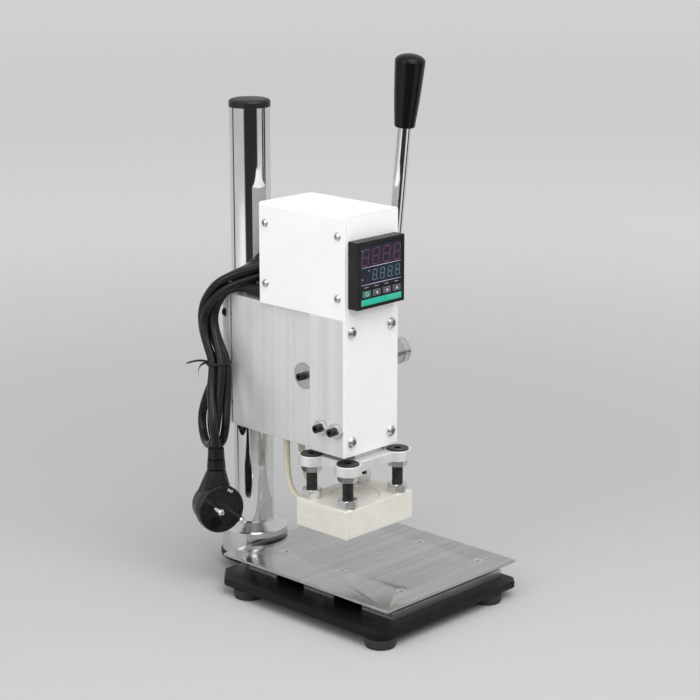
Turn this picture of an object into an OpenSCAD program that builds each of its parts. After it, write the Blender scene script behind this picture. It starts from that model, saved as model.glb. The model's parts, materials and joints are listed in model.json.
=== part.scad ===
// Manual lever press with a heated block, a sliding work table and a temperature controller.
// Millimetres. The origin is on the bench, in the middle of the footprint; +Z is up, -Y is the front.

/* [Base] */
// Width of the base casting
base_w = 150; // [146:1:156]
// Depth of the base casting, front edge to back edge
base_d = 173; // [170:1:180]
// Height of the casting's top face above the bench
base_top = 13; // [12.5:0.5:13.5]
// Thickness of the casting
base_t = 5.5; // [5:0.5:6]
// Diameter of each rubber foot
foot_d = 23; // [20:1:26]
// Diameter of the collar at the column's foot
collar_d = 50; // [46:1:52]

/* [Table] */
// Width of the work plate
table_w = 140; // [130:1:145]
// Depth of the work plate
table_d = 166; // [160:1:166]
// Height of the work plate's top face
table_top = 24; // [23.5:0.5:24.5]
// Thickness of the work plate
table_t = 2; // [1.5:0.5:2.5]
// Length of each rail under the plate
rail_len = 118; // [100:2:124]
// Distance from one rail to the next
rail_pitch = 58; // [54:1:60]

/* [Column] */
// Outer diameter of the column
column_d = 30; // [30:1:30]
// Wall of the column tube
column_wall = 2.5; // [1.5:0.5:4]
// Height of the column's top above the bench
column_top = 358; // [330:1:400]
// Distance from the column's axis to the ram's axis
throat = 106; // [104:1:110]

/* [Head] */
// Height of the head's underside above the bench
head_z = 116; // [114:1:120]
// Height of the head
head_h = 100; // [98:1:104]
// Width of the ram housing and of its front plate
head_w = 55.5; // [55:0.5:57]
// Width of the arm behind the housing
arm_w = 48; // [46:1:50]

/* [Control box] */
// Width of the control box
box_w = 54.5; // [54:0.5:56]
// Depth of the control box
box_d = 85; // [80:1:87]
// Height of the control box
box_h = 74; // [72:1:80]
// Sheet thickness of the box
sheet = 1.2; // [1:0.1:1.5]
// Side of the square controller bezel
bezel = 48; // [48:1:48]
// How far the bezel stands out of the box
bezel_out = 9.5; // [8:0.5:11]

/* [Lever and ram] */
// Diameter of the pinion shaft
shaft_d = 19; // [17:1:19]
// Module of the rack and pinion
gear_module = 1.5; // [1.5:0.5:1.5]
// Teeth on the pinion
gear_teeth = 16; // [16:1:16]
// Distance from the shaft's axis to the top of the grip
lever_len = 226; // [200:1:240]
// Lean of the lever towards the front at rest, degrees
lever_lean = 6; // [0:1:12]
// Diameter of the lever rod
rod_d = 10; // [8:1:10]
// Width of the square ram
ram_w = 30; // [30:1:30]

/* [Heating block] */
// Width of the heating block
block_w = 70; // [66:1:76]
// Depth of the heating block
block_d = 50; // [48:1:56]
// Thickness of the heating block
block_t = 21; // [20:1:24]
// Height of the block's underside above the bench, ram up
block_z = 59; // [57:1:60]

/* [Mains lead] */
// Diameter of the mains lead
cord_d = 6.4; // [6:0.1:7]
// Diameter of the plug's face
plug_d = 36; // [35:1:38]

/* [Hidden] */
$fn = 64;

fit_gap = 0.05;         // radial clearance of a running fit
head_x = -14;           // middle plane of the head and the column
press_y = -24;          // axis of the ram
column_y = press_y + throat;
base_x = -3;            // middle of the base casting
base_front = -110;
base_back = base_front + base_d;
boss_d = 52;            // lobe of the casting round the column
feet_x = [-67, 47];
feet_y = [-99, 33];
foot_h = base_top - base_t;
table_x = 7.5;          // middle of the work plate
table_front = -101;
rail_x = 7;             // middle of the rails
rail_w = 30;
rail_wall = 1.5;
rail_h = 5.5;
lip = 2.6;              // how far the rail's lips reach over the slider
slider_w = rail_w - 2 * rail_wall - 0.2;
slider_z = base_top + rail_wall + fit_gap;
plate_screws_x = [rail_x - 49 + 15, rail_x + 50];
rail_screws_x = [rail_x - 45, rail_x + 45];
collar_top = base_top + 24;
relief_y = press_y + 90.2;   // back wall of the collar's relief
relief_z = 27;               // the relief's ceiling, over the work plate
bar_y0 = -14.4;              // front face of the ram, from the ram's axis
pitch_r = gear_module * gear_teeth / 2;
shaft_y = 28;                // shaft's axis behind the ram's axis
shaft_z = head_z + 52;
rack_y = shaft_y - pitch_r;
rack_root = rack_y - 1.9;
rack_tip = rack_y + 1.3;
gear_w = 18;
rack_from = shaft_z - 10;
housing_y0 = -14.5;
housing_y1 = 18;
groove_x0 = -17.5;
groove_x1 = ram_w / 2 + fit_gap;
groove_y1 = rack_root + fit_gap;
plate_y0 = -16;              // front face of the head
plate_screw_x = 20.3;
sleeve_d = 27.6;
sleeve_x1 = 56;
rod_x = 62;
hub_x1 = 74;
clamp_gap = 1;               // half of the slit between arm and clamp cap
clamp_r = 22;
head_top = head_z + head_h;
box_z = head_top;
box_y1 = plate_y0 + box_d;
control_z = box_z + 32.4;    // middle of the controller
key_pitch = 10.2;
key_z = control_z - 13.2;
key_size = [8, 3.6, 4.6];
carrier_z = block_z + block_t + 25;
carrier_t = 7.5;
ear_x = 26;
ear_y = 18;
ram_z = carrier_z + carrier_t;
ram_top = head_top - 11;
pin_z = head_z + 14;         // cross pin that the return spring stands on
pin_y = -2;
spring_top = pin_z + 52;
travel = 25.2;
gland_x = -19.5;
gland_z = 222;
gland_end = box_y1 + 23;
// the lead's free stretches: from the gland to the bundle, and from the bundle to the plug
lead_route = [[-19.5, 92.1, 222], [-19.5, 94, 222], [-19.8, 96.5, 221.9], [-21.5, 101, 221.3], [-25.2, 107, 218.8],
    [-28.4, 112.4, 212.2], [-30.2, 115.2, 205.5]];
tail_route = [[-44.5, 104, 150], [-48.5, 99.5, 140], [-52, 94.5, 130], [-53.5, 91.5, 120], [-52.6, 91, 113],
    [-52.5, 91, 106.8]];
// middle of the bundle, from the front of the column round its left side to the tie
bundle = [[-21, 93, 232.5], [-25.5, 103, 226], [-29, 112, 217.5], [-31.5, 119, 205]];
hank_at = [-36, 111];        // axis of the hank's lower fold, beside the clamp
hank_turn = 63;              // direction of the hank's flat side
hank_t = 18;
fold_z = 121;                // centre of the lower fold
fold_r = 19.2;
tie_z = 165;
plug_at = [-54, 84, 61];     // middle of the plug's face
plug_turn = -17.5;
plug_roll = 27;
relief_at = [-52.5, 91];
relief_top = 106.5;
lead_x = 12;                 // the heater cartridges, left and right of the middle
lead_z = 69.5;

// places

module at_press() translate([head_x, press_y, 0]) children();
module at_column() translate([head_x, column_y, 0]) children();
module facing_front() rotate([90, 0, 0]) children();      // local +Z turned to -Y
module facing_left() rotate([0, -90, 0]) children();      // local +Z turned to -X
module along_shaft() translate([0, shaft_y, shaft_z]) rotate([90, 0, 90]) children();
module four_ears() for (x = [-ear_x, ear_x], y = [-ear_y, ear_y]) translate([x, y, 0]) children();
module on_feet() for (x = feet_x, y = feet_y) translate([x, y, 0]) children();
module on_rails() for (k = [-1:1]) translate([0, press_y + k * rail_pitch, 0]) children();
module cuboid(x0, x1, y0, y1, z0, z1) translate([x0, y0, z0]) cube([x1 - x0, y1 - y0, z1 - z0]);

// shared hardware: the head stands on z = 0, the shank points down

module cross_slot(size, depth) {
    cuboid(-size / 2, size / 2, -0.45, 0.45, -depth, 5);
    cuboid(-0.45, 0.45, -size / 2, size / 2, -depth, 5);
}
module pan_screw(d, len, head_d, head_h) difference() {
    union() {
        translate([0, 0, -len]) cylinder(d = d, h = len + 0.1);
        cylinder(d = head_d, h = head_h * 0.4);
        translate([0, 0, head_h * 0.4]) cylinder(d1 = head_d, d2 = head_d * 0.82, h = head_h * 0.35);
        translate([0, 0, head_h * 0.75]) cylinder(d1 = head_d * 0.82, d2 = head_d * 0.45, h = head_h * 0.25);
    }
    translate([0, 0, head_h]) cross_slot(head_d * 0.55, head_h * 0.55);
}
module flat_screw(d, len, head_d, head_t) difference() {
    union() {
        translate([0, 0, -len]) cylinder(d = d, h = len - head_t + 0.1);
        translate([0, 0, -head_t]) cylinder(d1 = d, d2 = head_d, h = head_t);
    }
    cross_slot(head_d * 0.55, head_t * 0.5);
}
module cap_screw(d, len, head_d, head_h, key) difference() {
    union() {
        translate([0, 0, -len]) cylinder(d = d, h = len + 0.1);
        cylinder(d = head_d, h = head_h);
    }
    translate([0, 0, head_h * 0.45]) cylinder(d = key, h = head_h, $fn = 6);
}
module set_screw(d, len, key) difference() {
    translate([0, 0, -len]) cylinder(d = d, h = len);
    translate([0, 0, -len * 0.3]) cylinder(d = key, h = len, $fn = 6);
}
module hex_nut(flats, bore, h) difference() {
    intersection() {
        cylinder(d = flats / cos(30), h = h, $fn = 6);
        cylinder(d1 = flats * 1.02, d2 = flats * 1.02 + h * 2, h = h);
        translate([0, 0, -h]) cylinder(d1 = flats * 1.02 + h * 4, d2 = flats * 1.02, h = h * 2);
    }
    translate([0, 0, -1]) cylinder(d = bore, h = h + 2);
}

// a tube of n sides swept along points; each ring stands square to the route

function unit(v) = v / norm(v);
function heading(p, i) = unit(p[min(i + 1, len(p) - 1)] - p[max(i - 1, 0)]);
function side_of(t) = unit(cross(t, abs(t[2]) > 0.9 ? [1, 0, 0] : [0, 0, 1]));
function ring(c, t, r, n) = let (u = side_of(t), v = cross(t, u))
    [for (k = [0:n - 1]) c + r * (cos(360 * k / n) * u + sin(360 * k / n) * v)];
module swept(p, d, n) polyhedron(
    points = [for (i = [0:len(p) - 1]) each ring(p[i], heading(p, i), d / 2, n)],
    faces = concat([[for (k = [0:n - 1]) k]],
        [[for (k = [n - 1:-1:0]) (len(p) - 1) * n + k]],
        [for (i = [0:len(p) - 2], k = [0:n - 1]) each [
            [i * n + k, (i + 1) * n + k, i * n + (k + 1) % n],
            [i * n + (k + 1) % n, (i + 1) * n + k, (i + 1) * n + (k + 1) % n]]]));

// base

module base_outline() {
    hw = base_w / 2;
    polygon([[base_x - hw + 6, base_front], [base_x + hw - 6, base_front], [base_x + hw, base_front + 6],
        [base_x + hw, base_back - 15], [base_x + hw - 15, base_back], [base_x - hw + 15, base_back],
        [base_x - hw, base_back - 15], [base_x - hw, base_front + 6]]);
    translate([head_x, column_y]) circle(d = boss_d, $fn = 96);
    translate([head_x - boss_d / 2, base_back - 5]) square([boss_d, column_y - base_back + 5]);
}

module base_casting() color("#1c1c1d") difference() {
    translate([0, 0, foot_h]) linear_extrude(base_t) base_outline();
    cuboid(-52, 30, -84, 18, foot_h - 1, foot_h + 2);
    at_column() translate([0, 0, foot_h + 1.5]) cylinder(d = column_d + 2 * fit_gap, h = 40);
    on_feet() translate([0, 0, foot_h - 1]) cylinder(d = 4, h = 5.5);
    on_rails() for (x = rail_screws_x) translate([x, 0, foot_h + 0.8]) cylinder(d = 4, h = 9);
}

module rubber_feet() color("#141414") on_feet() rotate_extrude($fn = 72)
    polygon([[2.2, 3], [5, 3], [5, 0], [foot_d / 2 - 2, 0], [foot_d / 2 - 0.8, 0.5], [foot_d / 2 - 0.4, 1.8],
        [foot_d / 2, foot_h], [2.2, foot_h]]);

module foot_screws() color("silver") on_feet() translate([0, 0, 3]) rotate([180, 0, 0])
    pan_screw(3.9, 8, 8, 2.4);

module column_collar() color("#c9cacc") difference() {
    at_column() rotate_extrude($fn = 96) polygon([[column_d / 2 + fit_gap, base_top], [collar_d / 2, base_top],
        [collar_d / 2, collar_top - 6], [collar_d / 2 - 0.6, collar_top - 5.2], [column_d / 2 + 2, collar_top],
        [column_d / 2 + fit_gap, collar_top]]);
    cuboid(head_x - 40, head_x + 40, relief_y - 40, relief_y, base_top - 1, relief_z);
    at_column() translate([0, 0, base_top + 9]) rotate([-90, 0, 0]) cylinder(d = 5, h = 40);
}

module collar_screw() color("#202022") at_column() translate([0, collar_d / 2 - 0.4, base_top + 9])
    rotate([-90, 0, 0]) set_screw(4.9, 8.8, 2.8);

module rail_channels() color("#b9bbbd") on_rails() translate([rail_x - rail_len / 2, 0, base_top]) difference() {
    cuboid(0, rail_len, -rail_w / 2, rail_w / 2, 0, rail_h);
    cuboid(-1, rail_len + 1, -rail_w / 2 + rail_wall, rail_w / 2 - rail_wall, rail_wall, rail_h - 1.2);
    cuboid(-1, rail_len + 1, -rail_w / 2 + lip, rail_w / 2 - lip, rail_wall, rail_h + 1);
    for (x = rail_screws_x) translate([x - rail_x + rail_len / 2, 0, 0]) {
        translate([0, 0, -1]) cylinder(d = 4.2, h = 4);
        cylinder(d1 = 4.2, d2 = 7.9, h = 1.51);
    }
}

module rail_screws() color("silver") on_rails() for (x = rail_screws_x)
    translate([x, 0, base_top + rail_wall - 0.02]) flat_screw(3.9, 6, 7.6, 1.4);

// table

module work_plate() color("#c3c5c7") difference() {
    cuboid(table_x - table_w / 2, table_x + table_w / 2, table_front, table_front + table_d,
        table_top - table_t, table_top);
    on_rails() for (x = plate_screws_x) translate([x, 0, 0]) {
        translate([0, 0, table_top - table_t - 1]) cylinder(d = 4.1, h = 4);
        translate([0, 0, table_top - 1.8]) cylinder(d1 = 4.1, d2 = 7.9, h = 1.82);
    }
}

module table_sliders() color("#c9cbcd") on_rails() difference() {
    translate([rail_x - rail_len / 2, 0, 0]) rotate([90, 0, 90]) linear_extrude(rail_len) polygon([
        [-slider_w / 2, slider_z], [slider_w / 2, slider_z], [slider_w / 2, slider_z + 1.6],
        [5.5, slider_z + 1.6], [5.5, table_top - table_t], [3.7, table_top - table_t],
        [3.1, table_top - table_t - 2.4], [-3.1, table_top - table_t - 2.4], [-3.7, table_top - table_t],
        [-5.5, table_top - table_t], [-5.5, slider_z + 1.6], [-slider_w / 2, slider_z + 1.6]]);
    for (x = plate_screws_x) translate([x, 0, slider_z - 1]) cylinder(d = 4, h = 20);
}

module table_screws() color("silver") on_rails() for (x = plate_screws_x)
    translate([x, 0, table_top - 0.02]) flat_screw(3.9, 8, 7.6, 1.8);

// column

module column_tube() color("#d8d8da") at_column() difference() {
    translate([0, 0, foot_h + 1.6]) cylinder(d = column_d, h = column_top - 6 - foot_h - 1.6, $fn = 96);
    translate([0, 0, foot_h]) cylinder(d = column_d - 2 * column_wall, h = column_top, $fn = 96);
}

module column_cap() color("#161616") at_column() {
    bore_r = column_d / 2 - column_wall;
    rotate_extrude($fn = 96) polygon([[0, column_top - 20], [bore_r - 0.1, column_top - 20],
        [bore_r - 0.1, column_top - 6], [column_d / 2 + 0.3, column_top - 6], [column_d / 2 + 0.3, column_top - 2.4],
        [column_d / 2 - 0.5, column_top - 1], [column_d / 2 - 2.5, column_top - 0.3], [0, column_top]]);
}

// head

module arm_body() color("#bfc0c2") at_press() difference() {
    translate([0, 0, head_z]) linear_extrude(head_h) intersection() {
        union() {
            polygon([[-arm_w / 2, housing_y1], [arm_w / 2, housing_y1], [arm_w / 2, 71], [clamp_r, throat],
                [-clamp_r, throat], [-arm_w / 2, 71]]);
            translate([0, throat]) circle(r = clamp_r, $fn = 96);
        }
        translate([-60, 0]) square([120, throat - clamp_gap]);
    }
    translate([0, throat, 0]) cylinder(d = column_d + 2 * fit_gap, h = 400, $fn = 96);
    cuboid(-gear_w / 2 - 1, gear_w / 2 + 1, housing_y1 - 1, shaft_y + 15, shaft_z - 16, shaft_z + 16);
    cuboid(-14, 14, 48, 80, head_z - 1, head_top + 1);
    along_shaft() translate([0, 0, -60]) cylinder(d = shaft_d + 2 * fit_gap, h = 60);
    along_shaft() translate([0, 0, gear_w / 2]) cylinder(d = sleeve_d, h = 60);
    for (x = [-21.6, 21.6], z = [150, 186]) translate([x, 17, z]) rotate([-90, 0, 0]) cylinder(d = 4, h = 16);
    for (x = [-18.5, 18.5], k = [-1:1]) translate([x, 88, head_z + head_h / 2 + 34 * k])
        rotate([-90, 0, 0]) cylinder(d = 4, h = 20);
}

module ram_housing() color("#c6c7c9") at_press() difference() {
    cuboid(-head_w / 2, head_w / 2, housing_y0, housing_y1, head_z, head_top);
    cuboid(groove_x0, groove_x1, housing_y0 - 1, groove_y1, head_z - 1, head_top + 1);
    cuboid(-gear_w / 2 - 0.6, gear_w / 2 + 0.6, 0, housing_y1 + 1, head_z + 14, ram_top + 2);
    for (x = [-21.6, 21.6], z = [150, 186]) translate([x, 0, z]) {
        translate([0, 20, 0]) facing_front() cylinder(d = 4.2, h = 40);
        translate([0, -2, 0]) facing_front() cylinder(d = 7.2, h = 20);
    }
    along_shaft() translate([0, 0, gear_w / 2]) cylinder(d = sleeve_d, h = 60);
    for (x = [-plate_screw_x, plate_screw_x], z = [head_z + 11, head_top - 9])
        translate([x, -5, z]) facing_front() cylinder(d = 4, h = 20);
    for (y = [-9, 5]) translate([0, y, head_z + 19.5]) facing_left() cylinder(d = 6, h = 40);
    translate([-24, pin_y, pin_z]) rotate([0, 90, 0]) cylinder(d = 4, h = 60);
}

module housing_bolts() color("#2a2a2c") at_press() for (x = [-21.6, 21.6], z = [150, 186])
    translate([x, -2, z]) facing_front() cap_screw(3.9, 34, 7, 4, 3.4);

module rear_clamp() color("#bfc0c2") at_press() difference() {
    translate([0, 0, head_z]) linear_extrude(head_h) intersection() {
        translate([0, throat]) circle(r = clamp_r, $fn = 96);
        translate([-60, throat + clamp_gap]) square([120, 60]);
    }
    translate([0, throat, 0]) cylinder(d = column_d + 2 * fit_gap, h = 400, $fn = 96);
    for (x = [-18.5, 18.5], k = [-1:1]) translate([x, throat, head_z + head_h / 2 + 34 * k]) rotate([-90, 0, 0]) {
        cylinder(d = 4.2, h = 30);
        translate([0, 0, 5.5]) cylinder(d = 7.4, h = 30);
    }
}

module clamp_bolts() color("#2a2a2c") at_press() for (x = [-18.5, 18.5], k = [-1:1])
    translate([x, throat + 5.5, head_z + head_h / 2 + 34 * k]) rotate([-90, 0, 0]) cap_screw(3.9, 22, 7, 4, 3.4);

module front_plate() color("#f1eeea") at_press() difference() {
    cuboid(-head_w / 2, head_w / 2, plate_y0, housing_y0, head_z, head_top);
    for (x = [-plate_screw_x, plate_screw_x], z = [head_z + 11, head_top - 9])
        translate([x, -5, z]) facing_front() cylinder(d = 4.2, h = 20);
}

module front_plate_screws() color("#b8b8ba") at_press()
    for (x = [-plate_screw_x, plate_screw_x], z = [head_z + 11, head_top - 9])
        translate([x, plate_y0, z]) facing_front() pan_screw(3.9, 10, 8, 2.8);

module gib_plate() color("#c9a24a") at_press() difference() {
    cuboid(groove_x0 + 0.05, -ram_w / 2 - fit_gap, housing_y0 + 1, groove_y1 - 1, head_z + 1, head_top - 1);
    translate([-10, pin_y, pin_z]) facing_left() cylinder(d = 4.4, h = 20);
}

module gib_screws() color("#1c1c1e") at_press() for (y = [-9, 5])
    translate([-head_w / 2 - 8, y, head_z + 19.5]) facing_left() set_screw(5.9, head_w / 2 + 8 + groove_x0 - 0.1, 3.4);

module gib_nuts() color("#d5d6d8") at_press() for (y = [-9, 5])
    translate([-head_w / 2 - 0.05, y, head_z + 19.5]) facing_left() rotate(30) hex_nut(10, 6, 4.2);

module bearing_sleeve() color("#c8c8ca") at_press() along_shaft() difference() {
    translate([0, 0, gear_w / 2 + 1.5]) cylinder(d = sleeve_d - 0.1, h = sleeve_x1 - gear_w / 2 - 1.5);
    cylinder(d = shaft_d + 2 * fit_gap, h = 200);
}

module spring_pin() color("#8d8d90") at_press() translate([-23.9, pin_y, pin_z]) rotate([0, 90, 0])
    cylinder(d = 3.9, h = 50.5);

module return_spring() color("#9a9a9c") at_press() {
    turns = 11;
    per_turn = 12;
    top = spring_top - 0.8;
    low = pin_z + 2.9;
    swept([for (i = [0:turns * per_turn]) [3.4 * cos(360 * i / per_turn), pin_y + 3.4 * sin(360 * i / per_turn),
        low + (top - low) * i / (turns * per_turn)]], 1.1, 8);
}

// control box

module box_chassis() color("#e9e9ea") at_press() difference() {
    union() {
        cuboid(-box_w / 2 + sheet, box_w / 2 - sheet, plate_y0, box_y1, box_z, box_z + sheet);
        cuboid(-box_w / 2 + sheet, box_w / 2 - sheet, plate_y0, plate_y0 + sheet, box_z, box_z + box_h - sheet);
        cuboid(-box_w / 2 + sheet, box_w / 2 - sheet, box_y1 - sheet, box_y1, box_z, box_z + box_h - sheet);
        for (s = [-1, 1], y = [plate_y0, box_y1 - 12]) {
            x = s * (box_w / 2 - sheet);
            cuboid(min(x, x - s * sheet), max(x, x - s * sheet), y, y + 12, box_z, box_z + box_h - 8);
        }
    }
    translate([-22.5, plate_y0 - 1, control_z - 22.5]) cube([45, 4, 45]);
    translate([gland_x, box_y1 - 3, gland_z]) rotate([-90, 0, 0]) cylinder(d = 8.5, h = 6);
    translate([0, 64, box_z - 1]) cylinder(d = 16, h = 4);
    for (x = [-box_w, box_w], y = [plate_y0 + 6.5, box_y1 - 6.5], z = [box_z + 15.5, box_z + box_h - 14.5])
        translate([min(x, 0), y, z]) rotate([0, 90, 0]) cylinder(d = 3, h = box_w);
}

module box_cover() color("#f4f4f3") at_press() difference() {
    union() {
        translate([0, plate_y0, 0]) rotate([-90, 0, 0]) linear_extrude(box_d) {
            r = 2.2;
            translate([-box_w / 2, -box_z - box_h + r]) square([box_w, box_h - r]);
            translate([-box_w / 2 + r, -box_z - box_h]) square([box_w - 2 * r, box_h]);
            for (s = [-1, 1]) translate([s * (box_w / 2 - r), -box_z - box_h + r]) circle(r = r, $fn = 48);
        }
    }
    cuboid(-box_w / 2 + sheet, box_w / 2 - sheet, plate_y0 - 1, box_y1 + 1, box_z - 1, box_z + box_h - sheet);
    for (y = [plate_y0 + 6.5, box_y1 - 6.5], z = [box_z + 15.5, box_z + box_h - 14.5])
        translate([-box_w, y, z]) rotate([0, 90, 0]) cylinder(d = 3.2, h = 2 * box_w);
}

module box_screws() color("#a9a9ab") at_press()
    for (s = [-1, 1], y = [plate_y0 + 6.5, box_y1 - 6.5], z = [box_z + 15.5, box_z + box_h - 14.5])
        translate([s * box_w / 2, y, z]) rotate([0, 90 * s, 0]) pan_screw(2.9, 2.8, 5.8, 1.9);

module controller_case() color("#1b1b1d") at_press() difference() {
    cuboid(-22.3, 22.3, plate_y0, 40, control_z - 22.3, control_z + 22.3);
    cuboid(-20.8, 20.8, plate_y0 - 1, 38.5, control_z - 20.8, control_z + 20.8);
    for (k = [-2:2]) translate([k * 7, 35, control_z - 12]) cube([4, 8, 24], center = true);
}

module controller_board() color("#2f6b3c") at_press() {
    cuboid(-20, 20, -15, 37, control_z - 10.8, control_z - 9.2);
    cuboid(-14, 4, 12, 30, control_z - 9.2, control_z + 6);
    cuboid(8, 17, 16, 28, control_z - 9.2, control_z + 4);
}

module controller_bezel() color("#131314") at_press() translate([0, plate_y0 - bezel_out, control_z]) difference() {
    cuboid(-bezel / 2, bezel / 2, 0, bezel_out, -bezel / 2, bezel / 2);
    cuboid(-20.6, 20.6, -1, 2, -8.2, 20.6);
    cuboid(-22, 22, 3.4, bezel_out + 1, -22, 22);
    for (k = [0:3]) translate([(k - 1.5) * key_pitch, 0, key_z - control_z]) cube([8.5, 12, 5.1], center = true);
}

module display_window() color("#1d2733") at_press()
    cuboid(-20.5, 20.5, plate_y0 - bezel_out + 0.3, plate_y0 - bezel_out + 2, control_z - 8.1, control_z + 20.5);

module controller_bracket() color("#303033") at_press() difference() {
    cuboid(-24.2, 24.2, plate_y0 + sheet, plate_y0 + sheet + 5, control_z - 24.2, control_z + 24.2);
    cuboid(-22.4, 22.4, plate_y0, 0, control_z - 22.4, control_z + 22.4);
}

module controller_key(k) at_press() translate([(k - 1.5) * key_pitch, plate_y0 - bezel_out - 0.7, key_z]) {
    translate([0, key_size[1] / 2, 0]) cube(key_size, center = true);
    translate([0, key_size[1] + 1.2, 0]) cube([9.4, 1, 6.2], center = true);
    translate([0, key_size[1] + 0.3, 0]) cube([6, 1.4, 3], center = true);
}
module key_set() color("#2f9a6b") controller_key(0);
module key_shift() color("#8d9296") controller_key(1);
module key_down() color("#8d9296") controller_key(2);
module key_up() color("#8d9296") controller_key(3);

module terminal_block() color("#dcd6c6") at_press() difference() {
    cuboid(-13, 13, 44, 54, box_z + sheet, box_z + sheet + 11);
    for (k = [-1:1]) translate([k * 8, 49, box_z + 6]) cylinder(d = 4, h = 20);
}

// mains lead

module cable_gland() color("#17171a") at_press() translate([gland_x, 0, gland_z]) rotate([-90, 0, 0])
    rotate_extrude($fn = 48) polygon([[0, box_y1 - 4], [4.7, box_y1 - 4], [4.7, box_y1 - sheet],
        [4.2, box_y1 - sheet], [4.2, box_y1], [5.6, box_y1], [5.6, box_y1 + 2.5], [4.9, box_y1 + 3],
        [cord_d / 2 + 0.5, gland_end], [0, gland_end]]);

module mains_cord() color("#121213") at_press() {
    swept(lead_route, cord_d, 10);
    swept(tail_route, cord_d, 10);
}

// the turns of the lead that lie round the front of the column, and the bundle that comes down from them
module cord_wrap() color("#151516") at_press() {
    translate([0, throat, 0]) {
        rotate([0, 0, 204]) rotate_extrude(angle = 43, $fn = 96)
            polygon([[18, 228], [20, 226.2], [29.5, 226.2], [31.3, 228], [31.3, 237], [29, 239], [20, 239], [18, 237]]);
        rotate([0, 0, 246.9]) rotate_extrude(angle = 20, $fn = 96)
            polygon([[18, 229], [20, 227.2], [29.5, 227.2], [31.3, 229], [31.3, 243], [29, 245], [20, 245], [18, 243]]);
        translate([0, -18, 0]) rotate([90, 0, 0]) linear_extrude(13.3) hull() {
            translate([-3, 236.5]) circle(r = 7.5);
            translate([29.6, 240]) circle(r = 22.4, $fn = 96);
        }
    }
    for (i = [0:2]) hull() {
        translate(bundle[i]) sphere(r = 6.5, $fn = 24);
        translate(bundle[i + 1]) sphere(r = 6.5, $fn = 24);
    }
}

module hank_link(a, b) hull() {
    translate([a[0], a[1]]) circle(r = a[2], $fn = 48);
    translate([b[0], b[1]]) circle(r = b[2], $fn = 48);
}
module cord_hank() color("#151516") at_press() translate([hank_at[0], hank_at[1], 0]) rotate([0, 0, hank_turn])
    translate([0, hank_t / 2 - 1, 0]) rotate([90, 0, 0]) linear_extrude(hank_t) {
        hank_link([0, fold_z, fold_r + cord_d / 2], [-1.8, 143, 17]);
        hank_link([-1.8, 143, 17], [-3.5, tie_z, 8.2]);
        hank_link([-3.5, tie_z, 8.2], [2.7, 178.5, 9]);
        hank_link([2.7, 178.5, 9], [8.5, 191, 9.5]);
        hank_link([8.5, 191, 9.5], [8.5, 203, 9.5]);
    }

module cord_tie() color("#101010") at_press() translate([hank_at[0], hank_at[1], tie_z - 1.2])
    rotate([0, 0, hank_turn]) difference() {
        cuboid(-14.2, 7.6, -11, 9, 0, 2.4);
        cuboid(-13.3, 6.7, -10.1, 8.1, -1, 4);
    }

module plug_body() color("#131314") at_press() {
    hull() {
        translate(plug_at) rotate([0, 0, plug_turn]) rotate([-90, 0, 0]) translate([0, 0, 7]) cylinder(d = 27, h = 14);
        translate([relief_at[0], relief_at[1], 86]) cylinder(d1 = 15.6, d2 = 13.6, h = 4.6);
    }
    translate(plug_at) rotate([0, 0, plug_turn]) rotate([-90, 0, 0]) rotate_extrude($fn = 72)
        polygon([[0, 1], [plug_d / 2 - 3, 1], [plug_d / 2 - 2.6, 0], [plug_d / 2 - 0.6, 0], [plug_d / 2, 0.8],
            [plug_d / 2, 7], [plug_d / 2 - 1.5, 9], [plug_d / 2 - 3, 20], [plug_d / 2 - 6, 24], [0, 25]]);
    translate(relief_at) {
        translate([0, 0, 90]) cylinder(d = 9.4, h = relief_top - 90);
        translate([0, 0, 92]) cylinder(d1 = 14, d2 = 12.8, h = 6.2);
        translate([0, 0, 99.7]) cylinder(d1 = 12.6, d2 = 11.8, h = relief_top - 99.7);
    }
}

module plug_pins() color("#c9c9cb") at_press() translate(plug_at) rotate([0, 0, plug_turn]) rotate([90, 0, 0])
    rotate([0, 0, -plug_roll]) for (s = [-1, 1]) translate([s * 9.5, 0, -4]) {
        cylinder(d = 4.8, h = 21);
        translate([0, 0, 21]) cylinder(d1 = 4.8, d2 = 2.6, h = 2);
    }

// lever

module pinion_outline() {
    base_r = pitch_r * cos(20);
    tip_r = pitch_r + 1.4;
    root_r = pitch_r - 1.9;
    flank = sqrt(pow(tip_r / base_r, 2) - 1);
    half = 90 / gear_teeth + (tan(20) * 180 / PI - 20) - 0.12 / pitch_r * 180 / PI;
    steps = 6;
    side = [for (i = [0:steps]) let (t = flank * i / steps) [base_r * sqrt(1 + t * t), t * 180 / PI - atan(t)]];
    polygon([for (k = [0:gear_teeth - 1]) let (c = 180 + (k + 0.5) * 360 / gear_teeth) each concat(
        [root_r * [cos(c - half), sin(c - half)]],
        [for (i = [0:steps]) side[i][0] * [cos(c - half + side[i][1]), sin(c - half + side[i][1])]],
        [for (i = [steps:-1:0]) side[i][0] * [cos(c + half - side[i][1]), sin(c + half - side[i][1])]],
        [root_r * [cos(c + half), sin(c + half)]])]);
}

module pinion_shaft() color("#cfcfd1") at_press() difference() {
    along_shaft() {
        translate([0, 0, -arm_w / 2]) cylinder(d = shaft_d, h = arm_w / 2 + hub_x1);
        translate([0, 0, -gear_w / 2]) linear_extrude(gear_w) pinion_outline();
    }
    translate([rod_x, shaft_y, shaft_z]) rotate([lever_lean, 0, 0]) translate([0, 0, -2])
        cylinder(d = rod_d + 2 * fit_gap, h = 30);
    along_shaft() translate([0, 0, hub_x1 - 6]) cylinder(d = 8.1, h = 10);
    along_shaft() translate([0, 0, -arm_w / 2 - 1]) cylinder(d = 5, h = 11);
}

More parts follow.
